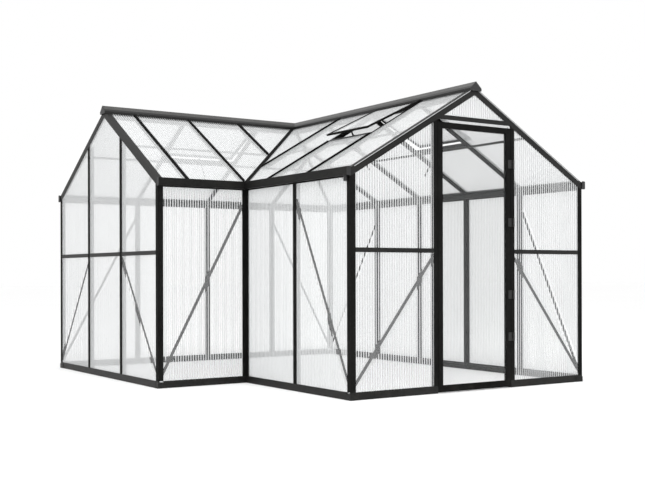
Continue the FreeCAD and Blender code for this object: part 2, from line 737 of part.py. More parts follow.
SIDE_BARS = [f"(front_arm - {count} * inner_side_bay)" for count in (1, 2, 3)]
FRONT_BARS = [f"(inner_front_bar + {count} * inner_front_bay)" for count in (0, 1, 2)]
RIGHT_BARS = [f"({count} * right_bay)" for count in (1, 2, 3, 4)]
BACK_BARS = [f"({count} * back_bay)" for count in (1, 2, 3)]


def over_side_valley(u):
    return f"max(eave_seat + joint_gap; (hip_flange + joint_gap - ({u})) / {RUN})"


def over_front_valley(u):
    return f"max(eave_seat + joint_gap; (({u}) - left_arm + hip_flange + joint_gap) / {RUN})"


def under_right_hip(u):
    return f"(({RIGHT_LENGTH} - hip_flange - joint_gap - ({u})) / {RUN})"


def under_back_hip(u):
    return f"((({u}) - hip_flange - joint_gap) / {RUN})"


finish("glazing_bars_inner_side", group([
    glazing_bar(SIDE_BARS[0]), glazing_bar(SIDE_BARS[1]),
    glazing_bar(SIDE_BARS[2], low=over_side_valley)], slope("inner_side")))
finish("glazing_bars_inner_front", group([
    glazing_bar(FRONT_BARS[0]), glazing_bar(FRONT_BARS[1], low=over_front_valley),
    glazing_bar(FRONT_BARS[2], low=over_front_valley)], slope("inner_front")))
finish("glazing_bars_right", group([glazing_bar(bar) for bar in RIGHT_BARS[:3]] + [
    glazing_bar(RIGHT_BARS[3], high=under_right_hip)], slope("right")))
finish("glazing_bars_back", group([glazing_bar(BACK_BARS[0], high=under_back_hip)] + [
    glazing_bar(bar) for bar in BACK_BARS[1:]], slope("back")))

SEAM_CLEAR = "(hip_flange + purlin_size)"


def purlin(name, left, right):
    v = (f"{SILL_AT} - purlin_size / 2", f"{SILL_AT} + purlin_size / 2")
    return group([block((left, right), ("glazing_depth", "glazing_depth + purlin_size"), v)], slope(name))


finish("purlins", group([
    purlin("inner_side", f"({SEAM_CLEAR} - {valley_u(SILL_AT)})", f"front_arm - {SEAT}"),
    purlin("inner_front", SEAT, f"(left_arm + {valley_u(SILL_AT)} - {SEAM_CLEAR})"),
    purlin("right", SEAT, f"({RIGHT_LENGTH} - {valley_u(SILL_AT)} - {SEAM_CLEAR})"),
    purlin("back", f"({valley_u(SILL_AT)} + {SEAM_CLEAR})", f"{BACK_LENGTH} - {SEAT}")]))

VENTS = {
    "vent_inner": ("inner_side", SIDE_BARS[1], SIDE_BARS[0]),
    "vent_right": ("right", RIGHT_BARS[0], RIGHT_BARS[1]),
    "vent_back": ("back", BACK_BARS[1], BACK_BARS[2]),
}
PEG_AT = "(stay_at - sash_overhang)"
STAY_SIDE = "(stay_thick / 2 + knuckle_gap)"


def vent_sill(name, left, right):
    """The sill under a vent, with the bracket and peg that the stay drops over."""
    middle = f"(({left} + {right}) / 2)"
    sill = lying((f"{left} + glazing_face / 2", f"{right} - glazing_face / 2"), SILL_AT,
                 "sill_face", "sill_depth", "glazing_inner_face", "roof_grip")
    bracket = block((f"{middle} + {STAY_SIDE} + peg_size", f"{middle} + {STAY_SIDE} + peg_size + stay_thick"),
                    ("profile_wall", "sill_depth - profile_wall"),
                    (f"{SILL_AT} + sill_face / 2 - profile_wall", f"{SILL_AT} + {PEG_AT} + peg_size"))
    peg = doc.addObject("Part::Cylinder", "Peg")
    bind(peg, Radius="peg_size / 2", Height="peg_size + stay_thick / 2")
    put(peg, cells(f"placement(vector({middle} + {STAY_SIDE}; sill_depth / 2; {SILL_AT} + {PEG_AT});"
                   " rotation(vector(0; 1; 0); 90))"))
    return fuse([sill, bracket, peg], slope(name))


finish("vent_sills", group([vent_sill(*row) for row in VENTS.values()]))


# ---------------------------------------------------------------- panels

PANEL_D = ("profile_wall + panel_gap", "profile_wall + panel_gap + panel_thick")
PANEL_LOW = f"(base_height - {HOLD})"
PANEL_TOP = f"({EAVE_LOW} + {HOLD})"
RAFTER_HOLD = f"({HOLD} * {PLUMB})"


def wall_panel(left, right, low=PANEL_LOW, high=PANEL_TOP):
    return block((f"{left} - {HOLD}", f"{right} + {HOLD}"), PANEL_D, (low, high))


def gable_panel(left, right, high):
    u = (f"{left} - {HOLD}", f"{right} + {HOLD}")
    return upright_plate(u, PANEL_D, level(ABOVE_RAIL), lambda x: f"({high(x)} + {RAFTER_HOLD})")


def shaped_panel(points, surface):
    """A panel of any outline; each point is (along, up) in the frame of its surface."""
    place = surface + cells(f" * placement(vector(0; {PANEL_D[1]}; 0); rotation(0; 0; 90))")
    return polygon_pad("Panel", points, "panel_thick", place)


ABOVE_RAIL = f"(rail_height + rail_face / 2 - {HOLD})"
BELOW_RAIL = f"(rail_height - rail_face / 2 + {HOLD})"
ABOVE_TRANSOM = f"(transom_height + rail_face / 2 - {HOLD})"
PEAK = (HALF, f"({under_left_rafter(HALF)} + {RAFTER_HOLD})")
FAR_CORNER = "(gable_width - corner_face)"


def at_panel_top(v):
    return f"((({v}) - {RAFTER_HOLD} - {EAVE_LOW}) / {RISE})"


front_flat = [wall_panel("corner_face", DOOR_POST_OUT[0], high=BELOW_RAIL),
              wall_panel(DOOR_POST_OUT[1], FAR_CORNER, high=BELOW_RAIL),
              gable_panel("corner_face", DOOR_POST_OUT[0], under_left_rafter),
              gable_panel(DOOR_POST_OUT[1], FAR_CORNER, under_right_rafter)]
FANLIGHT = [(at_panel_top(ABOVE_TRANSOM), ABOVE_TRANSOM),
            (f"gable_width - {at_panel_top(ABOVE_TRANSOM)}", ABOVE_TRANSOM),
            PEAK]
fanlight = shaped_panel(FANLIGHT, wall("front"))
finish("wall_panels_front", group([group(front_flat, wall("front")), fanlight]))

LEFT_EDGES = [("corner_face", f"({MULLIONS[0]} - post_face / 2)"),
              (f"({MULLIONS[0]} + post_face / 2)", f"({MULLIONS[1]} - post_face / 2)"),
              (f"({MULLIONS[1]} + post_face / 2)", FAR_CORNER)]
left_flat = [wall_panel(*edges, high=BELOW_RAIL) for edges in LEFT_EDGES]
left_flat += [gable_panel(*LEFT_EDGES[0], under_left_rafter), gable_panel(*LEFT_EDGES[2], under_right_rafter)]
middle_u = (f"({LEFT_EDGES[1][0]} - {HOLD})", f"({LEFT_EDGES[1][1]} + {HOLD})")
middle_top = shaped_panel([
    (middle_u[0], ABOVE_RAIL), (middle_u[1], ABOVE_RAIL),
    (middle_u[1], f"({under_right_rafter(middle_u[1])} + {RAFTER_HOLD})"), PEAK,
    (middle_u[0], f"({under_left_rafter(middle_u[0])} + {RAFTER_HOLD})")], wall("left"))
finish("wall_panels_left", group([group(left_flat, wall("left")), middle_top]))


def plain_wall(name, posts, first, last):
    faces = [first]
    for post in posts:
        faces += [f"({post} - post_face / 2)", f"({post} + post_face / 2)"]
    faces.append(last)
    return group([wall_panel(left, right) for left, right in zip(faces[::2], faces[1::2])], wall(name))


INNER_FACE = f"(corner_face - {SEAT})"
finish("wall_panels_right", plain_wall("right", RIGHT_BARS, "corner_face", f"({RIGHT_LENGTH} - corner_face)"))
finish("wall_panels_back", plain_wall("back", BACK_BARS, "corner_face", f"({BACK_LENGTH} - corner_face)"))
finish("wall_panels_inner", group([
    plain_wall("inner_front", [], "corner_face", f"(left_arm - {INNER_FACE})"),
    plain_wall("inner_side", ["(front_arm - side_post_at)"], INNER_FACE, "(front_arm - corner_face)")]))

ROOF_LOW = "(profile_wall + panel_play)"
ROOF_TOP = f"({SLOPE} - ridge_flange + {HOLD})"
SILL_TOP = f"({SILL_AT} - sill_face / 2 + {ROOF_HOLD})"
BAR_EDGE = f"(glazing_face / 2 - {ROOF_HOLD})"
SEAM_EDGE = f"(hip_flange - {HOLD})"


def roof_panel(left, right, high=ROOF_TOP):
    return block((left, right), PANEL_D, (ROOF_LOW, high))


def right_of(bar):
    return f"({bar} + {BAR_EDGE})"


def left_of(bar):
    return f"({bar} - {BAR_EDGE})"


def seam_corner(line, u=None, v=None):
    """The point on a panel's slanted edge at a given place along or up the slope."""
    start, sign = line
    if u:
        return (u, f"(({u} - {start}) / ({sign} * {RUN}))")
    return (f"({start} + {sign} * {v} * {RUN})", v)


SIDE_LINE = (SEAM_EDGE, "-1")
FRONT_LINE = (f"(left_arm - {SEAM_EDGE})", "1")
RIGHT_LINE = (f"({RIGHT_LENGTH} - {SEAM_EDGE})", "-1")
BACK_LINE = (SEAM_EDGE, "1")

side_shaped = [
    [seam_corner(SIDE_LINE, v=ROOF_LOW), (left_of(SIDE_BARS[1]), ROOF_LOW), (left_of(SIDE_BARS[1]), ROOF_TOP),
     (right_of(SIDE_BARS[2]), ROOF_TOP), seam_corner(SIDE_LINE, u=right_of(SIDE_BARS[2]))],
    [seam_corner(SIDE_LINE, u=left_of(SIDE_BARS[2])), (left_of(SIDE_BARS[2]), ROOF_TOP),
     seam_corner(SIDE_LINE, v=ROOF_TOP)]]
finish("roof_panels_inner_side", group([group([
    roof_panel(right_of(SIDE_BARS[0]), f"front_arm - corner_face + {HOLD}"),
    roof_panel(right_of(SIDE_BARS[1]), left_of(SIDE_BARS[0]), SILL_TOP)], slope("inner_side"))]
    + [shaped_panel(points, slope("inner_side")) for points in side_shaped]))

front_shaped = [
    [(right_of(FRONT_BARS[0]), ROOF_LOW), seam_corner(FRONT_LINE, v=ROOF_LOW),
     seam_corner(FRONT_LINE, u=left_of(FRONT_BARS[1])), (left_of(FRONT_BARS[1]), ROOF_TOP),
     (right_of(FRONT_BARS[0]), ROOF_TOP)],
    [seam_corner(FRONT_LINE, u=right_of(FRONT_BARS[1])), seam_corner(FRONT_LINE, u=left_of(FRONT_BARS[2])),
     (left_of(FRONT_BARS[2]), ROOF_TOP), (right_of(FRONT_BARS[1]), ROOF_TOP)],
    [seam_corner(FRONT_LINE, u=right_of(FRONT_BARS[2])), seam_corner(FRONT_LINE, v=ROOF_TOP),
     (right_of(FRONT_BARS[2]), ROOF_TOP)]]
finish("roof_panels_inner_front", group([
    group([roof_panel(f"corner_face - {HOLD}", left_of(FRONT_BARS[0]))], slope("inner_front"))]
    + [shaped_panel(points, slope("inner_front")) for points in front_shaped]))

right_shaped = [
    [(right_of(RIGHT_BARS[2]), ROOF_LOW), (left_of(RIGHT_BARS[3]), ROOF_LOW),
     seam_corner(RIGHT_LINE, u=left_of(RIGHT_BARS[3])), seam_corner(RIGHT_LINE, v=ROOF_TOP),
     (right_of(RIGHT_BARS[2]), ROOF_TOP)],
    [(right_of(RIGHT_BARS[3]), ROOF_LOW), seam_corner(RIGHT_LINE, v=ROOF_LOW),
     seam_corner(RIGHT_LINE, u=right_of(RIGHT_BARS[3]))]]
finish("roof_panels_right", group([group([
    roof_panel(f"corner_face - {HOLD}", left_of(RIGHT_BARS[0])),
    roof_panel(right_of(RIGHT_BARS[0]), left_of(RIGHT_BARS[1]), SILL_TOP),
    roof_panel(right_of(RIGHT_BARS[1]), left_of(RIGHT_BARS[2]))], slope("right"))]
    + [shaped_panel(points, slope("right")) for points in right_shaped]))

back_shaped = [
    [seam_corner(BACK_LINE, v=ROOF_LOW), (left_of(BACK_BARS[0]), ROOF_LOW),
     seam_corner(BACK_LINE, u=left_of(BACK_BARS[0]))],
    [(right_of(BACK_BARS[0]), ROOF_LOW), (left_of(BACK_BARS[1]), ROOF_LOW), (left_of(BACK_BARS[1]), ROOF_TOP),
     seam_corner(BACK_LINE, v=ROOF_TOP), seam_corner(BACK_LINE, u=right_of(BACK_BARS[0]))]]
finish("roof_panels_back", group([group([
    roof_panel(right_of(BACK_BARS[1]), left_of(BACK_BARS[2]), SILL_TOP),
    roof_panel(right_of(BACK_BARS[2]), f"{BACK_LENGTH} - corner_face + {HOLD}")], slope("back"))]
    + [shaped_panel(points, slope("back")) for points in back_shaped]))


# ---------------------------------------------------------------- vents

HINGE_V = f"({SLOPE} - vent_hinge_at)"
HINGE_D = "(-sash_lift - sash_depth / 2)"
SASH_LENGTH = f"(vent_reach - vent_hinge_at + sash_overhang)"
PIVOT_D = "(sash_depth / 2 + stay_drop)"
PIVOT_V = f"(stay_at - {SASH_LENGTH})"
STAY_TURN = f"(vent_open * 1 deg / 2 + atan2({PIVOT_D}; -{PIVOT_V}))"


def sash_place(name):
    """The frame of a sash: the hinge axis is its local X, the sash hangs down local -Z."""
    return slope(name) + cells(f" * placement(vector(0; {HINGE_D}; {HINGE_V}); rotation(0; 0; -vent_open))")


def round_rod(radius, start, length, y, z):
    """A round bar along local X."""
    rod = doc.addObject("Part::Cylinder", "Rod")
    bind(rod, Radius=radius, Height=length)
    return put(rod, cells(f"placement(vector({start}; {y}; {z}); rotation(vector(0; 1; 0); 90))"))


def vent(label, name, left_bar, right_bar):
    u = (f"({left_bar} + sash_side_gap)", f"({right_bar} - sash_side_gap)")
    middle = f"(({left_bar} + {right_bar}) / 2)"
    half_depth = ("-sash_depth / 2", "sash_depth / 2")
    outer = block(u, half_depth, (f"-{SASH_LENGTH}", "0"))
    hole = block((f"{u[0]} + sash_face", f"{u[1]} - sash_face"), ("-sash_depth", "sash_depth"),
                 (f"sash_face - {SASH_LENGTH}", "-sash_face"))
    edge = "(sash_face - roof_grip)"
    slot_half = "(panel_thick / 2 + panel_gap)"
    slot = block((f"{u[0]} + {edge}", f"{u[1]} - {edge}"), (f"-{slot_half}", slot_half),
                 (f"{edge} - {SASH_LENGTH}", f"-{edge}"))
    bead = round_rod("sash_bead / 2", u[0], f"{u[1]} - {u[0]}", "0", "0")
    lug_u = (f"{middle} - {STAY_SIDE} - stay_thick", f"{middle} - {STAY_SIDE}")
    lug_top = f"{PIVOT_V} + stay_width / 2"
    arm = block(lug_u, (slot_half, "sash_depth / 2"), (f"{edge} - {SASH_LENGTH}", lug_top))
    lug = block(lug_u, (slot_half, f"{PIVOT_D} + stay_width / 2"),
                (f"{PIVOT_V} - stay_width / 2", lug_top))
    pin = round_rod("peg_size / 2 - hinge_fit", f"{middle} - {STAY_SIDE} - stay_thick",
                    f"stay_thick * 3 / 2 + {STAY_SIDE}", PIVOT_D, PIVOT_V)
    ring = cut(cut(outer, hole), slot)
    finish(f"{label}_sash", fuse([ring, bead, arm, lug, pin], sash_place(name)))
    pane_edge = f"({edge} + panel_play)"
    pane = block((f"{u[0]} + {pane_edge}", f"{u[1]} - {pane_edge}"), ("-panel_thick / 2", "panel_thick / 2"),
                 (f"{pane_edge} - {SASH_LENGTH}", f"-{pane_edge}"))
    finish(f"{label}_pane", group([pane], sash_place(name)))
    stay_place = sash_place(name) + cells(
        f" * placement(vector({middle}; {PIVOT_D}; {PIVOT_V}); rotation(0; 0; {STAY_TURN}))")
    finish(f"{label}_stay", stay(label, stay_place))


def stay(label, place):
    """A flat bar with a row of holes, padded across its thickness from a side outline."""
    bar = block(("-stay_thick / 2", "stay_thick / 2"), ("-stay_width / 2", "stay_length"),
                ("-stay_width / 2", "stay_width / 2"))
    for number in range(int(evaluate("stay_holes")) + 1):
        bar = cut(bar, round_rod("stay_hole / 2", "-stay_thick", "stay_thick * 2",
                                 f"{number} * stay_hole_step", "0"))
    return put(bar, place)


for label, row in VENTS.items():
    vent(label, *row)


def hinge_hooks(name, left_bar, right_bar):
    """Blocks on the glazing bars that carry the bead along the top of a sash."""
    v = (f"{HINGE_V} + sash_bead / 2 + joint_gap", f"{SLOPE} - cap_half * {PLUMB} - joint_gap")
    hooks = [block((f"{bar} + {shift} - hook_width / 2", f"{bar} + {shift} + hook_width / 2"),
                   ("-sash_lift - sash_depth", "0"), v)
             for bar, shift in ((left_bar, "sash_side_gap"), (right_bar, "-sash_side_gap"))]
    return group(hooks, slope(name))


finish("vent_hinge_hooks", group([hinge_hooks(*row) for row in VENTS.values()]))


# ---------------------------------------------------------------- door

DOOR_U = (f"({DOOR_LEFT_EDGE} + door_gap)", f"({DOOR_RIGHT_EDGE} - door_gap)")
DOOR_V = ("door_floor_gap", "door_top")
DOOR_D = ("-door_proud", "(door_depth - door_proud)")
DOOR_SLOT = (f"({DOOR_D[1]} / 2 - panel_thick / 2 - panel_gap)",
             f"({DOOR_D[1]} / 2 + panel_thick / 2 + panel_gap)")
GLASS_U = (f"({DOOR_U[0]} + door_face - panel_grip)", f"({DOOR_U[1]} - door_face + panel_grip)")
GLASS_V = ("(door_bottom_face + door_floor_gap - panel_grip)", "(door_top - door_face + panel_grip)")


def door_bar(u, v):
    return cut(block(u, DOOR_D, v), block(GLASS_U, DOOR_SLOT, GLASS_V))


STILE_IN = (f"({DOOR_U[0]} + door_face)", f"({DOOR_U[1]} - door_face)")
finish("door_frame", group([
    door_bar((DOOR_U[0], STILE_IN[0]), DOOR_V),
    door_bar((STILE_IN[1], DOOR_U[1]), DOOR_V),
    door_bar(STILE_IN, ("door_top - door_face", "door_top")),
    door_bar(STILE_IN, ("door_floor_gap", "door_floor_gap + door_bottom_face"))], wall("front")))
finish("door_pane", group([block(
    (f"{GLASS_U[0]} + panel_play", f"{GLASS_U[1]} - panel_play"),
    (f"{DOOR_SLOT[0]} + panel_gap", f"{DOOR_SLOT[1]} - panel_gap"),
    (f"{GLASS_V[0]} + panel_play", f"{GLASS_V[1]} - panel_play"))], wall("front")))

AXIS_U = "door_right_at"
AXIS_D = "(-hinge_out)"


def knuckle(v, bore="hinge_pin / 2 + hinge_fit"):
    """A barrel piece on the hinge axis, with its bore as a separate tool."""
    rounds = []
    for radius, grow in (("hinge_barrel / 2", "0"), (bore, "1")):
        item = doc.addObject("Part::Cylinder", "Knuckle")
        bind(item, Radius=radius, Height=f"{v[1]} - ({v[0]}) + 2 * {grow}")
        bind(item, **{"Placement.Base.x": AXIS_U, "Placement.Base.y": AXIS_D,
                      "Placement.Base.z": f"{v[0]} - {grow}"})
        rounds.append(item)
    return rounds


def hinge(height):
    low = f"({height} - hinge_high / 2)"
    third = "(hinge_high / 3)"
    top = f"({height} + hinge_high / 2)"
    lower = (low, f"{low} + {third} - knuckle_gap / 2")
    middle = (f"{low} + {third} + knuckle_gap / 2", f"{low} + 2 * {third} - knuckle_gap / 2")
    upper = (f"{low} + 2 * {third} + knuckle_gap / 2", top)
    beside = "(hinge_barrel / 2 + knuckle_gap)"
    leaf_d = ("-door_proud - hinge_sheet", "-door_proud")
    leaf = [block((f"{DOOR_U[1]} - hinge_leaf", f"{AXIS_U} - {beside}"), leaf_d, (low, top))]
    tools = []
    for span in (lower, upper):
        leaf.append(block((f"{DOOR_U[1]} - hinge_leaf", AXIS_U), leaf_d, span))
        barrel, bore = knuckle(span)
        leaf.append(barrel)
        tools.append(bore)
    door_side = fuse(leaf)
    for tool in tools:
        door_side = cut(door_side, tool)
    edge = f"{AXIS_U} + door_post_face / 2"
    barrel, bore = knuckle(middle)
    frame_side = cut(fuse([block((f"{AXIS_U} + {beside}", edge), ("-hinge_sheet", "0"), (low, top)),
                           block((AXIS_U, edge), ("-hinge_sheet", "0"), middle), barrel]), bore)
    pin, spare = knuckle((low, top), "hinge_pin / 4")
    bind(pin, Radius="hinge_pin / 2")
    doc.removeObject(spare.Name)
    return door_side, frame_side, pin


leaves, brackets, pins = zip(*[hinge(height) for height in HINGE_HEIGHTS])
finish("door_hinge_leaves", group(list(leaves), wall("front")))
finish("door_hinge_brackets", group(list(brackets), wall("front")))
finish("door_hinge_pins", group(list(pins), wall("front")))


# ---------------------------------------------------------------- check and write

doc.recompute()
failed = [f"{item.Name} {item.Label} {item.State}" for item in doc.Objects
          if "Invalid" in item.State or "Error" in item.State]
for item in parts:
    if item.Shape.isNull() or not item.Shape.isValid() or not item.Shape.Solids:
        failed.append(f"{item.Label}: no valid solid")
if failed:
    raise SystemExit("\n".join(failed))

os.makedirs("parts", exist_ok=True)
for item in parts:
    item.Shape.exportStep(f"parts/{item.Label}.step")
    print(item.Label, len(item.Shape.Solids), round(item.Shape.Volume))
print(len(parts), "sub-parts")
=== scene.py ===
import math

import bpy
import numpy as np
from mathutils import Matrix, Vector


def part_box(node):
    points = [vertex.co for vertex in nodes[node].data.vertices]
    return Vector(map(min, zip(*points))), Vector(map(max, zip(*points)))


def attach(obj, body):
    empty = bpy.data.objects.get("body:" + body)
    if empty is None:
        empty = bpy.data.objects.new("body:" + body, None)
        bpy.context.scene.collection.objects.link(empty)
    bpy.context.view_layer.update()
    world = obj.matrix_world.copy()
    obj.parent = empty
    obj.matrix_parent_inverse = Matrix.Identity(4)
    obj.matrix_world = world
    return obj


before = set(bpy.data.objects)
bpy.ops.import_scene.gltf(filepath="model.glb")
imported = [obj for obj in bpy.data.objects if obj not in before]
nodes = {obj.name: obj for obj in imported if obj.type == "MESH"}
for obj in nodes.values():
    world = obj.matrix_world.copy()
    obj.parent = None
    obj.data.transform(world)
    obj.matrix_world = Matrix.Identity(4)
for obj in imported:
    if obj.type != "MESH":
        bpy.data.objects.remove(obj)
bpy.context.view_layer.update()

# ---------------------------------------------------------------- frame extrusions
# The rails, posts, bars, gutters and caps are aluminium extrusions with a black powder coat.
# The coat is baked polyester: a near black with a fine orange-peel skin and a satin sheen, and
# dustier low down where rain splashes soil on to it. The lying bars get a paler, glossier copy
# of the coat and the upright bars a darker, matter copy: painted light and painted shade for
# how the key light falls on each.

COAT_BLACK = (0.0085, 0.0085, 0.0082, 1)
COAT_WORN = (0.017, 0.0168, 0.0158, 1)
SPLASH_DUST = (0.05, 0.047, 0.041, 1)
SPLASH_HEIGHT = 0.12


class Wire:
    """An output of a shader node. Arithmetic on it adds Math nodes to the same tree."""

    def __init__(self, tree, socket=None):
        self.tree = tree
        self.socket = socket

    def node(self, kind, settings, inputs, output=0):
        """A new node: settings are set first, then each input is linked or given its value."""
        made = self.tree.nodes.new(kind)
        for name, value in settings.items():
            if name == "stops":
                ramp = made.color_ramp
                while len(ramp.elements) < len(value):
                    ramp.elements.new(0.5)
                for element, (place, colour) in zip(ramp.elements, value):
                    element.position = place
                    element.color = colour
            else:
                setattr(made, name, value)
        for name, value in inputs.items():
            if isinstance(value, Wire):
                self.tree.links.new(value.socket, made.inputs[name])
            else:
                made.inputs[name].default_value = value
        return Wire(self.tree, made.outputs[output]) if made.outputs else made

    def math(self, operation, *values):
        return self.node("ShaderNodeMath", {"operation": operation}, dict(enumerate(values)))

    def __add__(self, other):
        return self.math("ADD", self, other)

    def __sub__(self, other):
        return self.math("SUBTRACT", self, other)

    def __rsub__(self, other):
        return self.math("SUBTRACT", other, self)

    def __mul__(self, other):
        return self.math("MULTIPLY", self, other)

    __radd__ = __add__
    __rmul__ = __mul__

    def band(self, low, high):
        """0 below low, 1 above high, and a smooth step between them."""
        return self.node("ShaderNodeMapRange", {"interpolation_type": "SMOOTHSTEP"},
                         {"Value": self, "From Min": low, "From Max": high})


def finish(name, plain):
    """A material with one Principled shader, its plain socket values, and a Wire on its tree."""
    material = bpy.data.materials.new(name)
    material.use_nodes = True
    shader = material.node_tree.nodes["Principled BSDF"]
    for socket, value in plain.items():
        shader.inputs[socket].default_value = value
    return material, shader, Wire(material.node_tree)


def feed(shader, **wires):
    """Links wires to the shader's sockets; an underscore in a name stands for a space."""
    for name, wire in wires.items():
        wire.tree.links.new(wire.socket, shader.inputs[name.replace("_", " ")])


def place_of(wire):
    return wire.node("ShaderNodeTexCoord", {}, {}, "Object")


def part_of(vector, axis):
    """One of the three numbers of a vector, by its axis: X, Y or Z."""
    return vector.node("ShaderNodeSeparateXYZ", {}, {"Vector": vector}, axis)


def noise(wire, place, scale, detail=2.0):
    return wire.node("ShaderNodeTexNoise", {},
                     {"Vector": place, "Scale": scale, "Detail": detail}, "Fac")


def mixed(wire, factor, low, high):
    return wire.node("ShaderNodeMix", {"data_type": "RGBA"}, {0: factor, 6: low, 7: high}, 2)


def bumped(wire, strength, distance, height):
    """A bump of the surface: height is a Wire, and distance is in metres."""
    return wire.node("ShaderNodeBump", {}, {"Strength": strength, "Distance": distance,
                                            "Height": height}, "Normal")


def powder_coat(name, black, worn, roughness, sheen, shade_below=0.0):
    """Near black with slow changes of tone, splash dust near the ground, and orange peel.

    Below the height given as the last argument, the coat is painted the plain COAT_BLACK, as
    painted shade.
    """
    material, shader, tree = finish(name, {"Specular IOR Level": sheen})
    place = place_of(tree)
    height = part_of(place, "Z")
    patches = noise(tree, place, 3.5, 4.0)
    streaks = noise(tree, place, 60.0, 3.0)
    tone = mixed(tree, (patches * 0.6 + streaks * 0.4).band(0.35, 0.7), black, worn)
    # Painted shade: below the given height the tone is the plain black COAT_BLACK.
    if shade_below:
        tone = mixed(tree, height.band(shade_below - 0.002, shade_below + 0.002), COAT_BLACK, tone)
    splash = (1 - height.band(0.0, SPLASH_HEIGHT)) * noise(tree, place, 26.0, 5.0).band(0.45, 0.85)
    peel = noise(tree, place, 700.0, 1.0)
    bump = bumped(tree, 0.25, 0.0004, peel)
    feed(shader, Base_Color=mixed(tree, splash * 0.35, tone, SPLASH_DUST),
         Roughness=streaks * 0.1 + patches * 0.08 + splash * 0.2 + (roughness - 0.09), Normal=bump)
    return material


# Two copies of one coat: a paler, glossier one with painted light for the lying bars, and a darker,
# matter one with painted shade for the uprights and the bar caps.
lit_copy_coat = powder_coat("powder_coat_painted_lit", COAT_BLACK, COAT_WORN, 0.45, 0.16)
shaded_copy_coat = powder_coat("powder_coat_painted_shade", (0.006, 0.006, 0.0058, 1),
                        (0.0125, 0.0122, 0.0115, 1), 0.66, 0.035)
LYING = ["base_rails_front", "base_rails_outer", "base_rail_left_gable", "base_rails_inner",
         "base_corner_brackets", "mid_rails_front", "mid_rails_left", "door_transom",
         "gable_rafters_front", "gable_rafters_left", "ridge_beams", "purlins", "vent_sills"]
STANDING = ["corner_posts_front", "corner_posts_left", "corner_posts_eaves", "wall_posts_outer",
            "wall_post_inner", "gable_mullions", "door_posts", "braces", "door_frame", "valley_bar",
            "hip_bar", "glazing_bars_inner_side", "glazing_bars_inner_front",
            "glazing_bars_right", "glazing_bars_back", "vent_inner_sash", "vent_right_sash",
            "vent_back_sash", "vent_hinge_hooks"]


def dress(names, material):
    for name in names:
        for held in nodes[name].material_slots:
            held.material = material


dress(LYING, lit_copy_coat)
dress(STANDING, shaded_copy_coat)

# ---------------------------------------------------------------- gutters and caps
# The eave gutters, the ridge caps and their moulded end caps lie flat to the sky and the rain.
# They have the same coat as the bars, but they are smoother and dry with faint run marks. The
# ridge caps are painted a paler grey as a painted highlight on their tops, and plain black low
# on their lip as painted shade.

gutter_coat = powder_coat("gutter_powder_coat", COAT_BLACK, COAT_WORN, 0.5, 0.1)
dress(["eave_right", "eave_back", "eave_inner_front", "eave_inner_side"], gutter_coat)
# Ridge caps: the paler grey is a painted highlight on their tops, and below 33 mm over their lowest
# point they are painted black as painted shade.
CAP_PAINTED_SHADE_HEIGHT = 0.033
ridge_cap_coat_lit_and_shaded = powder_coat("cap_coat_painted_light_and_shade", (0.05, 0.05, 0.0492, 1), (0.078, 0.0772, 0.075, 1),
                       0.4, 0.3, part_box("ridge_caps")[0].z + CAP_PAINTED_SHADE_HEIGHT)
dress(["ridge_caps"], ridge_cap_coat_lit_and_shaded)


def moulded(name, colour):
    """Black plastic from a mould: even colour, fine spark-eroded grain."""
    material, shader, tree = finish(name, {"Specular IOR Level": 0.4})
    place = place_of(tree)
    grain = noise(tree, place, 1600.0, 2.0)
    cloud = noise(tree, place, 9.0, 3.0)
    bump = bumped(tree, 0.3, 0.0002, grain)
    paler = tuple(1.8 * part for part in colour[:3]) + (1,)
    feed(shader, Base_Color=mixed(tree, cloud, colour, paler),
         Roughness=cloud * 0.12 + 0.42, Normal=bump)
    return material


end_plastic = moulded("end_cap_plastic", (0.01, 0.01, 0.0104, 1))
dress(["ridge_end_caps", "gutter_end_caps", "gutter_outlet"], end_plastic)

# ---------------------------------------------------------------- twin-wall sheets
# The walls, the roof and the vents are twin-wall polycarbonate: two thin skins joined by webs.
# Each flute is a little lens, so a bar behind the sheet shows through the middle of each flute
# and is lost at the webs. The flutes stand upright on walls and run down the slope on roofs.

FLUTE_PITCH = 0.0185
SHEET_WHITE = (0.79, 0.80, 0.802, 1)
SHEET_HAZE = (0.74, 0.752, 0.758, 1)
BACKED_COVER = 0.1
BACKED_REACH = 0.017


def bar_lines(name):
    """The middle, direction and half length of each separate bar of a node, by its own vertices.

    Direction: the first right singular vector of the bar's vertices about their mean.
    """
    mesh = nodes[name].data
    spots = np.array([vertex.co for vertex in mesh.vertices])
    label = np.arange(len(spots))
    pairs = np.array([edge.vertices for edge in mesh.edges])
    while (label[pairs[:, 0]] != label[pairs[:, 1]]).any():
        least = np.minimum(label[pairs[:, 0]], label[pairs[:, 1]])
        np.minimum.at(label, pairs[:, 0], least)
        np.minimum.at(label, pairs[:, 1], least)
    lines = []
    for one in np.unique(label):
        bar = spots[label == one]
        middle = (bar.min(0) + bar.max(0)) / 2
        way = np.linalg.svd(bar - middle, full_matrices=False)[2][0]
        lines.append((Vector(middle), Vector(way), float(abs((bar - middle) @ way).max())))
    return lines


def vector_math(wire, operation, *values):
    """A Vector Math node, and its number when the result is not a vector."""
    output = "Value" if operation in ("LENGTH", "DOT_PRODUCT") else "Vector"
    return wire.node("ShaderNodeVectorMath", {"operation": operation},
                     dict(enumerate(values)), output)


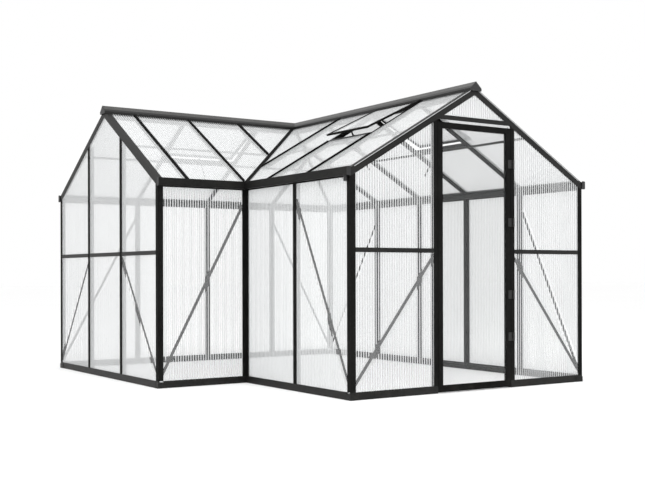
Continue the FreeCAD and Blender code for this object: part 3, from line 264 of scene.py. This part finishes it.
def twin_wall(name, clear, solid, painted_glow, shaded=(), backing=(), oblique=0.0):
    """Clear flutes and white webs across the sheet, at right angles to the way the flutes run.

    Where the sheet meets a height in shaded, its flutes are painted near black: painted shade, for
    the shadow under the ridge cap and along the eave gutter. Close to a bar in backing the flutes
    are left out, so the bar shows as one even line. All sheets are the same stock, but oblique is
    added to the cover of those that face left or right, for the milky look they have at a slant.
    Seen square on they are too milky.
    """
    # The sheet glows with its own colour at the strength in the fourth argument: painted light, to
    # brighten it as if lit through.
    material, shader, tree = finish(name, {"Specular IOR Level": 0.4, "Emission Strength": painted_glow})
    place = place_of(tree)
    facing = tree.node("ShaderNodeTexCoord", {}, {}, "Normal")
    along_x, along_y = part_of(place, "X"), part_of(place, "Y")
    facing_x = tree.math("ABSOLUTE", part_of(facing, "X"))
    facing_y = tree.math("ABSOLUTE", part_of(facing, "Y"))
    turned = tree.math("GREATER_THAN", facing_x, facing_y)
    across = along_y * turned + along_x * (1 - turned)
    wave = tree.math("COSINE", across * (2 * math.pi / FLUTE_PITCH))
    web = wave.band(-0.1, 0.6)
    haze = noise(tree, place, 2.2, 3.0)
    fine = noise(tree, place, 140.0, 2.0)
    colour = mixed(tree, (web * 0.6 + haze * 0.4), SHEET_HAZE, SHEET_WHITE)
    height = part_of(place, "Z")
    cover = web * (solid - clear) + fine * 0.02 + turned * oblique + clear
    # Painted shade: near black in the flutes inside each band, for the shadow of the cap over them.
    for low, high in shaded:
        near = height.band(low - 0.001, low) * (1 - height.band(high, high + 0.001))
        painted_flute_shade = near * (1 - 0.6 * web) * 0.9
        colour = mixed(tree, painted_flute_shade, colour, (0.012, 0.012, 0.012, 1))
        cover = tree.math("MAXIMUM", cover, painted_flute_shade)
    touched = 0.0
    for middle, way, reach in backing:
        offset = vector_math(tree, "SUBTRACT", place, middle)
        apart = vector_math(tree, "LENGTH", vector_math(tree, "CROSS_PRODUCT", offset, way))
        along = vector_math(tree, "DOT_PRODUCT", offset, way)
        beside = tree.math("LESS_THAN", apart, BACKED_REACH)
        within = tree.math("LESS_THAN", tree.math("ABSOLUTE", along), reach)
        touched = tree.math("MAXIMUM", beside * within, touched)
    if backing:
        cover = cover * (1 - touched) + touched * BACKED_COVER
    bump = bumped(tree, 0.5, 0.0012, wave + fine * 0.05)
    feed(shader, Base_Color=colour, Emission_Color=colour, Alpha=cover, Normal=bump,
         Roughness=haze * 0.1 + web * 0.1 + 0.15)
    return material


roof_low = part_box("roof_panels_right")[0].z
roof_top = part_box("roof_panels_right")[1].z
# Both sheets glow faintly (0.085 and 0.06): painted light to brighten them.
wall_sheet = twin_wall("wall_sheet", 0.02, 0.46, 0.085, backing=bar_lines("braces"),
                       oblique=0.19)
# The roof sheet's flutes are painted dark just under the ridge cap and along the eave: painted
# shade.
roof_sheet = twin_wall("roof_sheet", 0.27, 0.62, 0.06,
                       [(roof_top - 0.022, roof_top), (roof_low, roof_low + 0.016)])
dress(["wall_panels_front", "wall_panels_left", "wall_panels_right", "wall_panels_back",
       "wall_panels_inner"], wall_sheet)
dress(["roof_panels_inner_side", "roof_panels_inner_front", "roof_panels_right",
       "roof_panels_back", "vent_inner_pane", "vent_right_pane", "vent_back_pane"], roof_sheet)

# ---------------------------------------------------------------- glazing caps and sheet edges
# Each glazing bar of the roof is closed with a snap-on cap, a low rounded strip that presses on
# the edges of both sheets. It is extruded like the bar, and stops short of the vent sashes.

EAVE_HEIGHT = 1.393
RIDGE_RISE = 0.576
HALF_GABLE = 0.975
DOOR_CORNER = Vector((-0.6525, -1.6365))
FRONT_ARM, LEFT_ARM, FULL_WIDTH = 1.308, 0.66, 1.95
slope_length = math.hypot(RIDGE_RISE, HALF_GABLE)
slope_run, slope_climb = HALF_GABLE / slope_length, RIDGE_RISE / slope_length
CAP_WIDTH, CAP_HEIGHT = 0.019, 0.0085
SLOPES = {
    "inner_side": ((0, FRONT_ARM), (0, -1), (1, 0)),
    "inner_front": ((-LEFT_ARM, FRONT_ARM), (1, 0), (0, 1)),
    "right": ((FULL_WIDTH, 0), (0, 1), (-1, 0)),
    "back": ((FULL_WIDTH, FRONT_ARM + FULL_WIDTH), (-1, 0), (0, -1)),
}


def on_slope(name, along, out, high):
    """Arrays of places on a slope: along the eave, outwards square to the sheet, up the slope."""
    start, eave_way, inward = (np.array(pair) for pair in SLOPES[name])
    level = high * slope_run - out * slope_climb
    flat = start + np.multiply.outer(along, eave_way) + np.multiply.outer(level, inward)
    height = EAVE_HEIGHT + high * slope_climb + out * slope_run
    return np.concatenate([flat + np.array(DOOR_CORNER), height[..., None]], axis=-1)


def shell(name, grid, material):
    """A closed skin on a grid of points: rows go along it, columns go round it, ends are capped."""
    rows, columns = grid.shape[:2]
    index = np.arange(rows * columns).reshape(rows, columns)
    low, high = index[:-1], index[1:]
    sides = np.stack([low, np.roll(low, -1, 1), np.roll(high, -1, 1), high], axis=-1).reshape(-1, 4)
    mesh = bpy.data.meshes.new(name)
    mesh.from_pydata(grid.reshape(-1, 3).tolist(), [],
                     sides.tolist() + [index[0, ::-1].tolist(), index[-1].tolist()])
    mesh.materials.append(material)
    mesh.update()
    made = bpy.data.objects.new(name, mesh)
    bpy.context.scene.collection.objects.link(made)
    return made


def rounded_section(width, height, corner, steps=4):
    """A flat foot and a top with rounded corners: quarter circles joined into one open outline."""
    turn = np.linspace(0, math.pi / 2, steps)
    right_across = width / 2 - corner + corner * np.cos(turn)
    right_out = height - corner + corner * np.sin(turn)
    across = np.concatenate([[width / 2], right_across, -right_across[::-1], [-width / 2]])
    out = np.concatenate([[0], right_out, right_out[::-1], [0]])
    return across, out


def bar_cap(name, slope_name, along, low, high):
    """The rounded section carried up a slope from low to high."""
    across, out = rounded_section(CAP_WIDTH, CAP_HEIGHT, 0.004)
    ups = np.linspace(low, high, 9)
    grid = on_slope(slope_name, along + np.tile(across, (9, 1)), np.tile(out, (9, 1)),
                    np.tile(ups[:, None], (1, across.size)))
    made = shell(name, grid, shaded_copy_coat)
    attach(made, "house")


UNDER_CAP = slope_length - 0.055
UNDER_VENT = slope_length - 0.535 - 0.018
ON_EAVE = 0.006
SEAM = 0.024
bar_cap("cap_side_1", "inner_side", 0.796, ON_EAVE, UNDER_VENT)
bar_cap("cap_side_2", "inner_side", 0.284, ON_EAVE, UNDER_VENT)
bar_cap("cap_side_3", "inner_side", -0.228, (SEAM + 0.228 + 0.01) / slope_run, UNDER_CAP)
bar_cap("cap_front_1", "inner_front", 0.223, ON_EAVE, UNDER_CAP)
bar_cap("cap_front_2", "inner_front", 0.658, (SEAM + 0.01) / slope_run, UNDER_CAP)
bar_cap("cap_front_3", "inner_front", 1.093, (1.093 - LEFT_ARM + SEAM + 0.01) / slope_run,
        UNDER_CAP)
bar_cap("cap_right_1", "right", 0.615, ON_EAVE, UNDER_VENT)
bar_cap("cap_right_2", "right", 1.23, ON_EAVE, UNDER_VENT)
bar_cap("cap_right_3", "right", 1.845, ON_EAVE, UNDER_CAP)
bar_cap("cap_right_4", "right", 2.46, ON_EAVE, (3.258 - 2.46 - SEAM - 0.01) / slope_run)
bar_cap("cap_back_1", "back", 0.65, ON_EAVE, (0.65 - SEAM - 0.01) / slope_run)
bar_cap("cap_back_2", "back", 1.3, ON_EAVE, UNDER_VENT)
bar_cap("cap_back_3", "back", 1.95, ON_EAVE, UNDER_VENT)

# The cut edge of the roof sheets shows at the door gable as a pale line, between the rafter and the
# thin lip over it. It is the closed side of the sheet: milky, smooth, a few millimetres high.

EDGE_HEIGHT = 0.004
EDGE_DROP = 0.0035
EDGE_PROUD = 0.0006


def pale_edge():
    """Milky plastic, a little uneven along its length."""
    material, shader, tree = finish("sheet_edge", {"Roughness": 0.35, "Specular IOR Level": 0.3})
    cloud = noise(tree, place_of(tree), 35.0, 3.0)
    feed(shader, Base_Color=mixed(tree, cloud, (0.36, 0.365, 0.37, 1),
                                  (0.6, 0.605, 0.61, 1)))
    return material


edge_finish = pale_edge()


def edge_strip(name, across, depth_way, middle, reach):
    """A thin bar on a gable's outer face: across runs from the eave to the ridge."""
    run = np.linspace(0.03, HALF_GABLE - 0.035, 12)
    square = np.array([(-1, 0), (1, 0), (1, -1), (-1, -1)], float)
    drop = EDGE_DROP + EDGE_HEIGHT / 2 * (1 + square[:, 0])
    proud = EDGE_PROUD * (1 + square[:, 1]) - 0.0003
    grid = np.zeros((12, 4, 3))
    grid[..., :2] = (middle + np.multiply.outer(run, across)[:, None]
                     + np.multiply.outer(proud, depth_way))
    grid[..., 2] = reach + (run * RIDGE_RISE / HALF_GABLE)[:, None] - drop / slope_run
    made = shell(name, grid, edge_finish)
    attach(made, "house")


gable_left = np.array(DOOR_CORNER)
gable_right = gable_left + [FULL_WIDTH, 0]
edge_strip("edge_front_1", np.array([1, 0]), np.array([0, -1]), gable_left, EAVE_HEIGHT)
edge_strip("edge_front_2", np.array([-1, 0]), np.array([0, -1]), gable_right, EAVE_HEIGHT)

# ---------------------------------------------------------------- door pane
# The door is glazed with one clear solid sheet, so the inside shows through it undimmed.
# It has a faint wipe haze and a soft gloss.

pane_finish, pane_shader, pane_tree = finish("clear_door_sheet", {"Specular IOR Level": 0.5})
pane_place = place_of(pane_tree)
wipe = noise(pane_tree, pane_place, 1.7, 4.0)
feed(pane_shader,
     Base_Color=mixed(pane_tree, wipe, (0.9, 0.92, 0.92, 1), (0.8, 0.83, 0.83, 1)),
     Alpha=wipe * 0.03 + 0.015, Roughness=wipe * 0.08 + 0.03)
dress(["door_pane"], pane_finish)

# ---------------------------------------------------------------- fasteners, hinges and stays
# The brace bolts and the hinge pins are zinc plated steel. The hinge leaves, brackets and the
# perforated vent stays are pressed sheet with the same black coat as the bars.


def plated(name, light, dark):
    """Zinc plate: grey with spangle patches and fine turning marks."""
    material, shader, tree = finish(name, {"Metallic": 0.9})
    place = place_of(tree)
    spangle = noise(tree, place, 240.0, 2.0)
    turning = noise(tree, place, 1500.0, 1.0)
    bump = bumped(tree, 0.2, 0.0001, turning)
    feed(shader, Base_Color=mixed(tree, spangle, dark, light),
         Roughness=spangle * 0.25 + 0.25, Normal=bump)
    return material


zinc = plated("zinc_plate", (0.55, 0.55, 0.54, 1), (0.36, 0.365, 0.37, 1))
dress(["brace_bolts", "door_hinge_pins"], zinc)
pressed_coat = powder_coat("pressed_sheet_coat", (0.012, 0.012, 0.012, 1),
                           (0.025, 0.025, 0.024, 1), 0.38, 0.3)
dress(["door_hinge_leaves", "door_hinge_brackets", "vent_inner_stay", "vent_right_stay",
       "vent_back_stay"], pressed_coat)

# ---------------------------------------------------------------- floor and light
# A plain pale floor under an even white studio light, with a soft key from the upper left.

FLOOR_REACH = 60.0
steps = np.linspace(-FLOOR_REACH, FLOOR_REACH, 13)
grid_x, grid_y = np.meshgrid(steps, steps)
corners = np.stack([grid_x.ravel(), grid_y.ravel(), np.zeros(grid_x.size)], axis=1)
row = np.arange(steps.size - 1)
first = (row[:, None] * steps.size + row[None, :]).ravel()
tiles = np.stack([first, first + 1, first + steps.size + 1, first + steps.size], axis=1)
floor_mesh = bpy.data.meshes.new("floor")
floor_mesh.from_pydata(corners.tolist(), [], tiles.tolist())
floor = bpy.data.objects.new("floor", floor_mesh)
bpy.context.scene.collection.objects.link(floor)
floor_finish, floor_shader, floor_tree = finish(
    "floor_paper", {"Roughness": 0.9, "Specular IOR Level": 0.1,
                    "Emission Color": (1, 1, 1, 1), "Emission Strength": 0.05})
floor_tone = noise(floor_tree, place_of(floor_tree), 0.4, 2.0)
feed(floor_shader, Base_Color=mixed(floor_tree, floor_tone,
                                    (0.93, 0.93, 0.93, 1), (0.95, 0.95, 0.95, 1)))
floor_mesh.materials.append(floor_finish)

world = bpy.data.worlds.new("studio")
world.use_nodes = True
world.node_tree.nodes["Background"].inputs["Color"].default_value = (1, 1, 1, 1)
world.node_tree.nodes["Background"].inputs["Strength"].default_value = 1.0
bpy.context.scene.world = world


def lamp(name, place, target, size, watts):
    """A square soft box at place, turned to face target."""
    light = bpy.data.lights.new(name, "AREA")
    light.size = size
    light.energy = watts
    held = bpy.data.objects.new(name, light)
    aim = (Vector(target) - Vector(place)).to_track_quat("-Z", "Y")
    held.matrix_world = Matrix.Translation(Vector(place)) @ aim.to_matrix().to_4x4()
    bpy.context.scene.collection.objects.link(held)


lamp("key", (-3.5, -4.5, 6.5), (0, 0, 0.6), 4.0, 260)
lamp("fill", (6.0, -3.0, 4.0), (0, 0, 1.0), 5.0, 80)

# ---------------------------------------------------------------- camera
# The eye is low and to the left of the door gable, and looks along the valley between the wings.

EYE = (-4.1708, -6.9016, 0.7612)
YAW, PITCH, ROLL = 0.6038, 0.0019, -0.0025
FOCAL_LENGTH, SHIFT = 59.24, (-0.0675, 0.0454)
ahead = Vector((math.sin(YAW) * math.cos(PITCH), math.cos(YAW) * math.cos(PITCH), math.sin(PITCH)))
level_right = Vector((math.cos(YAW), -math.sin(YAW), 0))
level_up = level_right.cross(ahead)
right = level_right * math.cos(ROLL) + level_up * math.sin(ROLL)
up = level_up * math.cos(ROLL) - level_right * math.sin(ROLL)
lens = bpy.data.cameras.new("camera")
lens.sensor_width = 36
lens.lens = FOCAL_LENGTH
lens.shift_x, lens.shift_y = SHIFT
lens.clip_end = 300
camera = bpy.data.objects.new("camera", lens)
camera.matrix_world = Matrix.Translation(EYE) @ Matrix((right, up, -ahead)).transposed().to_4x4()
bpy.context.scene.collection.objects.link(camera)
bpy.context.scene.camera = camera
bpy.context.scene.view_settings.view_transform = "Standard"
